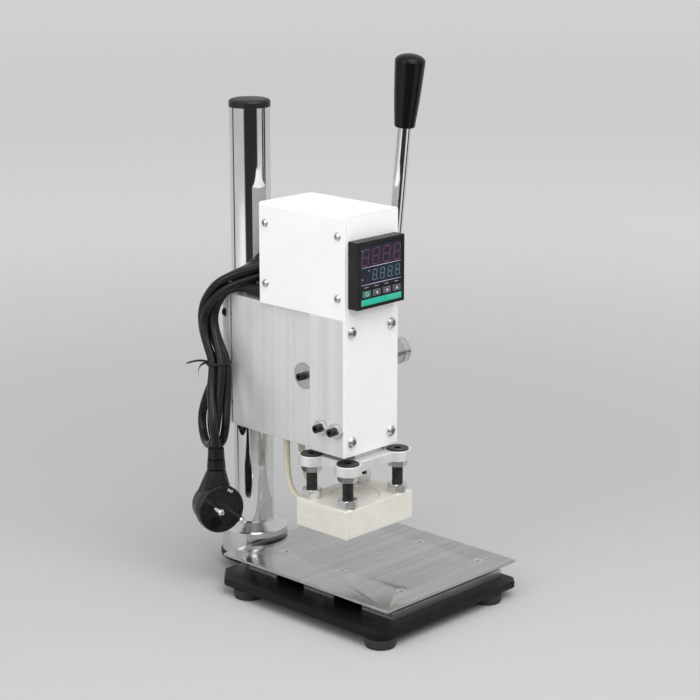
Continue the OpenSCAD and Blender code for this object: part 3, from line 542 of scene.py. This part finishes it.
grainFinish("tealSegment", 900, 300, (0.1, 0.17, 0.18), (0.15, 0.26, 0.26), 0.25, 0.1)

# The finish of each CAD node.
finishNodes = {
    "blackCasting": "base_casting",
    "rubber": "rubber_feet",
    "brightZinc": "foot_screws rail_screws table_screws gib_nuts box_screws front_plate_screws upper_nuts"
        " lower_nuts",
    "blackSteel": "collar_screw housing_bolts clamp_bolts gib_screws shaft_screw ram_bolts carrier_screws",
    "springSteel": "return_spring spring_pin heater_cartridges thermocouple",
    "groundSteel": "pinion_shaft ram",
    "turnedCollar": "column_collar",
    "railAluminium": "rail_channels table_sliders",
    "brushedPlate": "work_plate",
    "drawnAluminium": "arm_body ram_housing rear_clamp bearing_sleeve carrier_plate",
    "knurledCap": "hub_cap",
    "chrome": "column_tube lever_rod plug_pins",
    "brass": "gib_plate",
    "whiteEnamel": "front_plate",
    "whitePowderCoat": "box_chassis box_cover",
    "blackPlastic": "column_cap controller_case controller_bezel controller_bracket cable_gland cord_tie",
    "gripPlastic": "lever_grip",
    "cordSheath": "mains_cord cord_wrap cord_hank plug_body",
    "windowAcrylic": "display_window",
    "greenKey": "key_set",
    "greyKey": "key_shift key_down key_up",
    "circuitBoard": "controller_board",
    "creamPlastic": "terminal_block",
    "milledBlock": "heater_block",
    "leadSleeve": "heater_leads",
}
for finishName, members in finishNodes.items():
    for nodeName in members.split():
        for materialSlot in frame["nodes"][nodeName].material_slots:
            materialSlot.material = finishes[finishName]
print("finishes set:", len(finishes))

# Softened edges: a copy of the CAD node, merged, with its edges rounded a little

softEdges = {    # width of the rounding, in metres
    "box_cover": 0.0003, "front_plate": 0.00035, "controller_bezel": 0.0006, "controller_case": 0.0004,
    "arm_body": 0.0004, "ram_housing": 0.0004, "rear_clamp": 0.0004, "base_casting": 0.0011,
    "work_plate": 0.0003, "heater_block": 0.0006, "carrier_plate": 0.0005, "rail_channels": 0.00015,
    "key_set": 0.0004, "key_shift": 0.0004, "key_down": 0.0004, "key_up": 0.0004,
}
bodies = frame["record"]["behaviour"]["bodies"]
nodeBody = {member: body for body, members in bodies.items() for member in members}
nodeFinish = {member: name for name, members in finishNodes.items() for member in members.split()}


def softenNode(nodeName, width):
    name = nodeName.replace("_", " ").title().replace(" ", "") + "Finished"
    piece = bpy.data.objects.new(name, frame["nodes"][nodeName].data.copy())
    bpy.context.scene.collection.objects.link(piece)
    selectOnly(piece)
    bpy.ops.object.mode_set(mode="EDIT")
    bpy.ops.mesh.select_all(action="SELECT")
    bpy.ops.mesh.remove_doubles(threshold=0.000002)
    bpy.ops.mesh.dissolve_limited(angle_limit=math.radians(0.3))
    bpy.ops.object.mode_set(mode="OBJECT")
    useModifier(piece, "BEVEL", width=width, segments=2, limit_method="ANGLE",
        angle_limit=math.radians(38), use_clamp_overlap=False)
    bpy.ops.object.shade_smooth_by_angle(angle=math.radians(20))
    finishName = nodeFinish[nodeName]
    dress(piece, finishes[finishName], nodeBody[nodeName])
    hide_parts(nodeName)


for nodeName, width in softEdges.items():
    softenNode(nodeName, width)
print("edges softened:", len(softEdges))

# Controller display

# Millimetres; depths from the ram's axis, levels from the controller's middle.
displaySettings = {
    "middle": 248.4,         # height of the controller's middle on the head
    "face": -25.22,          # front of the window
    "bezelFace": -25.5,
    "keyFace": -26.26,
    "barThickness": 0.12,
    "slant": 0.11,           # of the digits
    "upper": {"places": (-16.2, -5.4, 5.4, 16.2), "height": 11.0, "width": 6.3, "bar": 0.95, "level": 12.6},
    "lower": {"places": (-6.6, 1.2, 9.0, 16.8), "height": 7.2, "width": 3.9, "bar": 0.62, "level": -0.5},
    "lineLevels": (5.6, -6.6),
    "lineSize": (40.4, 0.42),
    "tickLevel": -8.6,       # a short line above each key
    "tickSize": (4.6, 0.34),
    "dots": ((-19.2, 17.6), (-12.4, 2.9), (-19.2, -2.6)),
    "dotSize": (0.95, 0.9),
    "stripLevel": -19.1,
    "stripSize": (41, 0.28, 4.4),
    "keyPlaces": (-15.3, -5.1, 5.1, 15.3),
    "keyLevel": -13.2,
}


def thinBar(place, size, face, settings, upright=False):
    # A flat six-sided bar with pointed ends, standing on the face.
    length, width = size
    thick = settings["barThickness"]
    clearSelection()
    bpy.ops.mesh.primitive_cylinder_add(vertices=6, radius=width / 2, depth=thick,
        rotation=(math.pi / 2, 0, 0))
    bpy.ops.object.transform_apply(location=True, rotation=True, scale=True)
    bar = bpy.context.object
    grow, axis = (length - width) / 2, 2 if upright else 0
    for vertex in bar.data.vertices:    # the two points move apart
        if abs(vertex.co[axis]) > 0.05 * width:
            vertex.co[axis] += math.copysign(grow, vertex.co[axis])
        vertex.co += Vector((place[0], face - thick / 2, place[1]))
    return bar


def settleAtHead(piece):
    # From millimetres at the head to metres in the frame.
    for vertex in piece.data.vertices:
        vertex.co = vertex.co * 0.001 + headPlace
    settle(piece, 30)


def makeDigits(name, row, finishName, settings):
    half, across = row["height"] / 4, row["width"] / 2
    bars = []
    for place in row["places"]:
        for x, z, upright in ((0, 2 * half, False), (0, 0, False), (0, -2 * half, False),
                (-across, half, True), (across, half, True), (-across, -half, True), (across, -half, True)):
            length = (row["height"] / 2 if upright else row["width"]) - row["bar"] * 0.35
            bar = thinBar((place + x, row["level"] + z), (length, row["bar"]), settings["face"], settings,
                upright)
            for vertex in bar.data.vertices:
                vertex.co.x += settings["slant"] * (vertex.co.z - row["level"])
            bars.append(bar)
        clearSelection()
        thick = settings["barThickness"]
        bpy.ops.mesh.primitive_cylinder_add(vertices=16, radius=row["bar"] * 0.5, depth=thick,
            rotation=(math.pi / 2, 0, 0),
            location=(place + across + row["bar"] * 1.3, settings["face"] - thick / 2,
                row["level"] - 2 * half))
        dot = bpy.context.object
        bpy.ops.object.transform_apply(location=True, rotation=True, scale=True)
        bars.append(dot)
    digits = joinPieces(name, bars)
    for vertex in digits.data.vertices:
        vertex.co.z += settings["middle"]
    settleAtHead(digits)
    dress(digits, finishes[finishName], "head")


def makePrint(settings):
    parts = [thinBar((0, level), settings["lineSize"], settings["face"], settings)
        for level in settings["lineLevels"]]
    parts += [thinBar((x, settings["tickLevel"]), settings["tickSize"], settings["bezelFace"], settings)
        for x in settings["keyPlaces"]]
    parts += [thinBar(place, settings["dotSize"], settings["face"], settings) for place in settings["dots"]]
    lines = joinPieces("displayPrint", parts)
    for vertex in lines.data.vertices:
        vertex.co.z += settings["middle"]
    settleAtHead(lines)
    dress(lines, finishes["palePrint"], "head")


def makeStrip(settings):
    clearSelection()
    bpy.ops.mesh.primitive_cube_add(size=1, scale=settings["stripSize"],
        location=(0, settings["bezelFace"] - 0.06, settings["middle"] + settings["stripLevel"]))
    strip = bpy.context.object
    strip.name = "colourStrip"
    bpy.ops.object.transform_apply(location=True, rotation=True, scale=True)
    useModifier(strip, "BEVEL", width=0.08, segments=2)
    settleAtHead(strip)
    dress(strip, finishes["greenStrip"], "head")


def makeKeyMark(name, index, body, settings, turn=None):
    # A raised mark on the key's face: a ring, or an arrow head that is turned by so many degrees.
    clearSelection()
    place = (settings["keyPlaces"][index], settings["keyFace"], settings["middle"] + settings["keyLevel"])
    if turn is None:
        bpy.ops.mesh.primitive_torus_add(major_radius=1.25, minor_radius=0.2, major_segments=32,
            minor_segments=8, location=place, rotation=(math.pi / 2, 0, 0))
    else:
        bpy.ops.mesh.primitive_cylinder_add(vertices=3, radius=1.45, depth=0.16, location=place,
            rotation=(math.pi / 2, math.radians(turn), 0))
    mark = bpy.context.object
    bpy.ops.object.transform_apply(location=True, rotation=True, scale=True)
    if turn is not None:    # hollowed a little from the front
        selectFaces(mark, lambda faces: [face for face in faces if face.normal.y < -0.9])
        bpy.ops.mesh.inset(thickness=0.3)
        bpy.ops.transform.translate(value=(0, 0.08, 0))
        bpy.ops.object.mode_set(mode="OBJECT")
    mark.name = name
    settleAtHead(mark)
    dress(mark, finishes["palePrint"], body)


makeDigits("upperDigits", displaySettings["upper"], "redSegment", displaySettings)
makeDigits("lowerDigits", displaySettings["lower"], "tealSegment", displaySettings)
makePrint(displaySettings)
makeStrip(displaySettings)
makeKeyMark("setMark", 0, "set_button", displaySettings)
makeKeyMark("shiftMark", 1, "shift_button", displaySettings, -90)
makeKeyMark("downMark", 2, "down_button", displaySettings, 180)
makeKeyMark("upMark", 3, "up_button", displaySettings, 0)
print("controller display made")

# Plug: contact strip, socket for the earth pin, and hollow pin tips

# Millimetres; levels up the plug's face from its middle, reaches out from it.
plugSettings = {
    "face": (-54, 84, 61),
    "turn": -17.5,           # degrees about the upright axis
    "roll": 27.0,            # degrees about the plug's own axis
    "contactSize": (4.6, 2.2, 1.6),
    "contactLevel": 15.2,
    "contactReach": 0.1,
    "socketRadius": 3.4,
    "socketDepth": 1.0,
    "socketLevel": -10.5,
    "socketReach": 1.1,
    "pinPlaces": (-9.5, 9.5),
    "pinReach": 19.0,
}


def standOnPlug(piece, up, out, settings):
    # The piece was made flat on Z = 0 round the origin, in millimetres.
    roll, turn = math.radians(settings["roll"]), math.radians(settings["turn"])
    level = Vector((math.cos(turn), math.sin(turn), 0))
    normal = Vector((math.sin(turn), -math.cos(turn), 0))
    upright = Vector((0, 0, 1))
    across = level * math.cos(roll) - upright * math.sin(roll)
    rise = level * math.sin(roll) + upright * math.cos(roll)
    place = Vector(settings["face"]) + rise * up + normal * out
    piece.data.transform(Matrix.Translation(place) @ Matrix((across, rise, normal)).transposed().to_4x4())
    settleAtHead(piece)


def makePlugDetails(settings):
    clearSelection()
    bpy.ops.mesh.primitive_cube_add(size=1, location=(0, 0, 0), scale=settings["contactSize"])
    contact = bpy.context.object
    contact.name = "plugEarthStrip"
    bpy.ops.object.transform_apply(location=True, rotation=True, scale=True)
    useModifier(contact, "BEVEL", width=0.5, segments=3)
    standOnPlug(contact, settings["contactLevel"], settings["contactReach"], settings)
    dress(contact, finishes["chrome"], "head")
    clearSelection()
    bpy.ops.mesh.primitive_cylinder_add(vertices=40, radius=settings["socketRadius"],
        depth=settings["socketDepth"], location=(0, 0, 0))
    rim = bpy.context.object
    rim.name = "plugEarthSocket"
    selectFaces(rim, lambda faces: [face for face in faces if face.normal.z > 0.9])
    bpy.ops.mesh.inset(thickness=0.7)
    bpy.ops.mesh.extrude_region_move(TRANSFORM_OT_translate={"value": (0, 0, -0.8)})
    bpy.ops.object.mode_set(mode="OBJECT")
    standOnPlug(rim, settings["socketLevel"], settings["socketReach"], settings)
    dress(rim, finishes["gripPlastic"], "head")
    pins = []
    for side in settings["pinPlaces"]:
        clearSelection()
        bpy.ops.mesh.primitive_torus_add(major_radius=1.15, minor_radius=0.28, major_segments=28,
            minor_segments=8)
        pins.append(bpy.context.object)
        pins[-1].data.transform(Matrix.Translation((side, 0, 0)))
    tips = joinPieces("plugPinTips", pins)
    standOnPlug(tips, 0, settings["pinReach"], settings)
    dress(tips, finishes["chrome"], "head")
    return [contact, rim, tips]


plugPieces = makePlugDetails(plugSettings)

# Tie: the band round the bundle, and its two free ends

# Millimetres
tieSettings = {
    "middle": (-34.2, 106, 165),
    "radius": 8.9,
    "bandRadius": 0.6,
    "bandStretch": 1.9,      # its height over its thickness
    "width": 3.4,            # of the free ends
    "thickness": 1.7,
    "taper": 0.97,           # from one point of an end to the next
}
tieEnds = {
    "tieLongEnd": ((-39.6, 111.2, 166), (-43.5, 115, 167.4), (-48, 119, 166.6), (-52, 123, 164.8)),
    "tieShortEnd": ((-40, 111.6, 165.4), (-43.6, 114.6, 165), (-45.6, 116.2, 160.5), (-45.4, 116.2, 152.5)),
}


def standAlong(piece, place, heading):
    turn = heading.to_track_quat("Z", "Y").to_matrix().to_4x4()
    piece.data.transform(Matrix.Translation(place) @ turn)


def makeTieBand(settings):
    clearSelection()
    bpy.ops.mesh.primitive_torus_add(major_radius=settings["radius"], minor_radius=settings["bandRadius"],
        major_segments=64, minor_segments=12)
    band = bpy.context.object
    band.name = "tieBand"
    bpy.ops.object.mode_set(mode="EDIT")
    bpy.ops.mesh.select_all(action="SELECT")
    bpy.ops.transform.resize(value=(1, 1, settings["bandStretch"]))
    bpy.ops.object.mode_set(mode="OBJECT")
    standAlong(band, settings["middle"], bundleAxes(2)[1])
    settleAtHead(band)
    dress(band, finishes["blackPlastic"], "head")
    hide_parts("cord_tie")
    return band


def makeTieEnd(name, points, settings):
    clearSelection()
    bpy.ops.mesh.primitive_cube_add(size=1, location=(0, 0, 0),
        scale=(settings["width"], settings["thickness"], 1))
    strap = bpy.context.object
    bpy.ops.object.transform_apply(location=True, rotation=True, scale=True)
    route = [Vector(p) for p in points]
    standAlong(strap, route[0], route[1] - route[0])
    taper = settings["taper"]
    for start, end in zip(route, route[1:]):
        # The face furthest along the strap is drawn out to the next point.
        heading = (end - start).normalized()

        def reach(face):
            return (face.center - route[0]).length + 4 * face.normal.dot(heading)

        selectFaces(strap, lambda faces: [max(faces, key=reach)])
        bpy.ops.mesh.extrude_region_move(TRANSFORM_OT_translate={"value": tuple(end - start)})
        bpy.ops.transform.resize(value=(taper, taper, taper))
        bpy.ops.object.mode_set(mode="OBJECT")
    useModifier(strap, "SUBSURF", levels=2, render_levels=2)
    strap.name = name
    settleAtHead(strap)
    dress(strap, finishes["blackPlastic"], "head")
    return strap


tiePieces = [makeTieBand(tieSettings)]
tiePieces += [makeTieEnd(name, points, tieSettings) for name, points in tieEnds.items()]
print("plug and tie detailed")

# Leads of the heated block, and the spring in the ram. On the real press both give way as the ram comes down;
# here they are fixed shapes.

heaterLeadSettings = {
    "diameter": 0.005,
    "block": (12, 27.6, 69.5),    # mm, where the right-hand lead leaves the block
    "bend": (0, 34, -6),          # mm, the pull of its first stretch
    "arm": (7, 62, 140),          # mm, where it goes into the arm
    "drop": (7, 64, 76),          # mm, the pull of its last stretch
    "points": 24,
}


def makeHeaterLead(name, side, settings):
    start, bend, end, drop = (Vector(settings[key]) for key in ("block", "bend", "arm", "drop"))
    for place in (start, end, drop):
        place.x *= side
    bend += start
    route = []
    for k in range(settings["points"] + 1):
        t = k / settings["points"]
        route.append(start * (1 - t) ** 3 + bend * 3 * t * (1 - t) ** 2
            + drop * 3 * t * t * (1 - t) + end * t ** 3)
    route = [atHead(*p) for p in reversed(route)]
    selectOnly(makeTube(name, route, settings["diameter"], 3, 4))
    bpy.ops.object.convert(target="MESH")
    sleeve = bpy.context.object
    settle(sleeve, 60)
    sleeve.data.materials.clear()
    sleeve.data.materials.append(finishes["leadSleeve"])
    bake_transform(sleeve)
    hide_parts("heater_leads")


def makeSpringCoil():
    source = frame["nodes"]["return_spring"]
    coil = bpy.data.objects.new("returnSpringCoil", source.data.copy())
    bpy.context.scene.collection.objects.link(coil)
    settle(coil, 50)
    dress(coil, finishes["springSteel"], "head")
    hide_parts("return_spring")
    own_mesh(coil)


makeHeaterLead("heaterLeadLeft", -1, heaterLeadSettings)
makeHeaterLead("heaterLeadRight", 1, heaterLeadSettings)
makeSpringCoil()
print("leads and spring made")

# The mains lead, now that its finish, plug and tie are there
lead.data.materials.append(finishes["cordSheath"])
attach(lead, "head")
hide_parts("mains_cord", "cord_wrap", "cord_hank")

# Floor and light

studioSettings = {
    "paintedFalloffTones": (0.49, 0.84, 1.0),        # painted shade near the bench, lighter at arm's length, lightest far away, against the softboxes' fall-off
    "toneReach": ((0.3, 1.6), (1.0, 6.0)),  # metres over which each gives way to the next
    "worldStrength": 0.8,
    "worldColour": (0.8, 0.8, 0.81, 1),
    # painted dark reflections, floor bands seen only by glossy rays: middle, half width and soft edge, in
    # degrees round the bench
    "paintedReflectionBands": ((229, 34, 9), (311, 9, 7), (117, 3, 4)),
    "paintedReflectionReach": (0.1, 0.5),                # metres over which the painted dark reflections fade in
    "cardTone": 0.02,
    # softboxes: place, target, width, height and power
    "softboxes": {
        "topSoftbox": ((-0.25, -0.85, 1.35), (0, 0, 0.1), 1.4, 1.4, 19.0),
        "sideSoftbox": ((-1.25, 0.1, 0.8), (0, 0, 0.15), 0.7, 1.2, 5.4),
    },
}


def paintedReflectionMask(tree, place, settings):
    # One where a painted dark reflection band lies, and nought between them.
    parts = tree.nodes.new("ShaderNodeSeparateXYZ")
    tree.links.new(place, parts.inputs[0])
    angle = mathNode(tree, "ARCTAN2", parts.outputs["Y"], parts.outputs["X"])
    mask = None
    for middle, half, edge in settings["paintedReflectionBands"]:
        # the shorter way round from the middle of the band
        turned = mathNode(tree, "ADD", angle, math.radians(540 - middle))
        turned = mathNode(tree, "MODULO", turned, 2 * math.pi)
        off = mathNode(tree, "ABSOLUTE", mathNode(tree, "SUBTRACT", turned, math.pi), 0)
        one = rangeNode(tree, off, math.radians(half), math.radians(half + edge), 1, 0)
        mask = one if mask is None else mathNode(tree, "MAXIMUM", mask, one)
    return mask


def makeFloor(settings):
    clearSelection()
    bpy.ops.mesh.primitive_plane_add(size=60, location=(0, 0, 0))
    floor = bpy.context.object
    floor.name = "floor"
    material = bpy.data.materials.new("floorPaper")
    material.use_nodes = True
    tree = material.node_tree
    shader = tree.nodes["Principled BSDF"]
    shader.inputs["Roughness"].default_value = 0.9
    shader.inputs["Specular IOR Level"].default_value = 0.1
    place = tree.nodes.new("ShaderNodeTexCoord").outputs["Object"]
    length = tree.nodes.new("ShaderNodeVectorMath")
    length.operation = "LENGTH"
    tree.links.new(place, length.inputs[0])
    distance = length.outputs["Value"]
    # Painted reflection: glossy rays see the floor painted dark in bands round the bench. These stand in for
    # dark cards that are not there, so polished metal shows dark stripes in its reflections.
    faded = rangeNode(tree, distance, *settings["paintedReflectionReach"])
    card = mathNode(tree, "MULTIPLY", paintedReflectionMask(tree, place, settings), faded)
    ray = tree.nodes.new("ShaderNodeLightPath").outputs["Is Glossy Ray"]
    share = mathNode(tree, "MULTIPLY", card, ray)
    # The floor's tone is painted: darker near the bench and lighter far off, to even out the fall-off of the
    # softboxes' light.
    near, middle, far = [(tone, tone, tone, 1) for tone in settings["paintedFalloffTones"]]
    paintedReflectionDark = (settings["cardTone"],) * 3 + (1,)
    paper = mixColour(tree, rangeNode(tree, distance, *settings["toneReach"][0]), near, middle)
    paper = mixColour(tree, rangeNode(tree, distance, *settings["toneReach"][1]), paper, far)
    tree.links.new(mixColour(tree, share, paper, paintedReflectionDark), shader.inputs["Base Color"])
    floor.data.materials.append(material)


def addSoftbox(name, location, target, width, height, power):
    light = bpy.data.lights.new(name, "AREA")
    light.shape = "RECTANGLE"
    light.size, light.size_y = width, height
    light.energy = power
    holder = bpy.data.objects.new(name, light)
    bpy.context.scene.collection.objects.link(holder)
    holder.location = location
    holder.rotation_euler = (Vector(target) - Vector(location)).to_track_quat("-Z", "Y").to_euler()


def makeStudio(settings):
    bpy.context.scene.view_settings.view_transform = "Standard"
    world = bpy.data.worlds.new("studio")
    bpy.context.scene.world = world
    world.use_nodes = True
    background = world.node_tree.nodes["Background"]
    background.inputs["Color"].default_value = settings["worldColour"]
    background.inputs["Strength"].default_value = settings["worldStrength"]
    for name, values in settings["softboxes"].items():
        addSoftbox(name, *values)


makeFloor(studioSettings)
makeStudio(studioSettings)
print("floor and light set")
